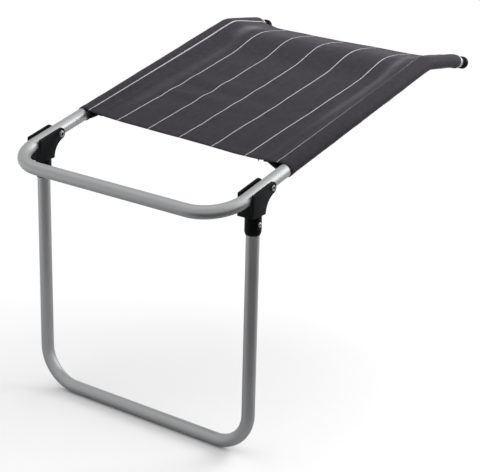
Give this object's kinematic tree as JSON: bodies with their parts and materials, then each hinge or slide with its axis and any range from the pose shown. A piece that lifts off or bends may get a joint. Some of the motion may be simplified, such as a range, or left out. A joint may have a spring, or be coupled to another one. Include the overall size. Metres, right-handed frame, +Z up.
{
  "type": "folding foot rest",
  "caption": "Hook-on foot rest for a folding chair: bent tube frame with a cloth sling, and a tube leg frame that folds up under it on moulded hinge brackets.",
  "frame": {"origin": "on the floor, below the middle of the leg frame's floor bar", "axes": "+X to the right along the floor bar, +Y to the back towards the chair, +Z up"},
  "size_m": [0.4758, 0.7574, 0.573],
  "materials": {
    "tube": "satin anodised",
    "black_plastic": "fine moulded grain",
    "rivet": "bright",
    "cloth": "woven, with thin pale stripes"
  },
  "bodies": {
    "seat": {"seat_frame_tube": "tube", "sling_cloth": "cloth", "end_plug_left": "black_plastic", "end_plug_right": "black_plastic"},
    "leg_frame": {"leg_frame_tube": "tube", "hinge_bracket_left": "black_plastic", "pivot_rivet_left": "rivet", "pivot_washer_left": "rivet", "socket_rivet_left": "rivet", "hinge_bracket_right": "black_plastic", "pivot_rivet_right": "rivet", "pivot_washer_right": "rivet", "socket_rivet_right": "rivet"}
  },
  "joints": [
    {"name": "leg_fold", "type": "hinge", "parent": "seat", "child": "leg_frame", "pos_m": [0, 0.029, 0.4628], "axis": [1, 0, 0], "range_deg": [0, 101.3]}
  ]
}
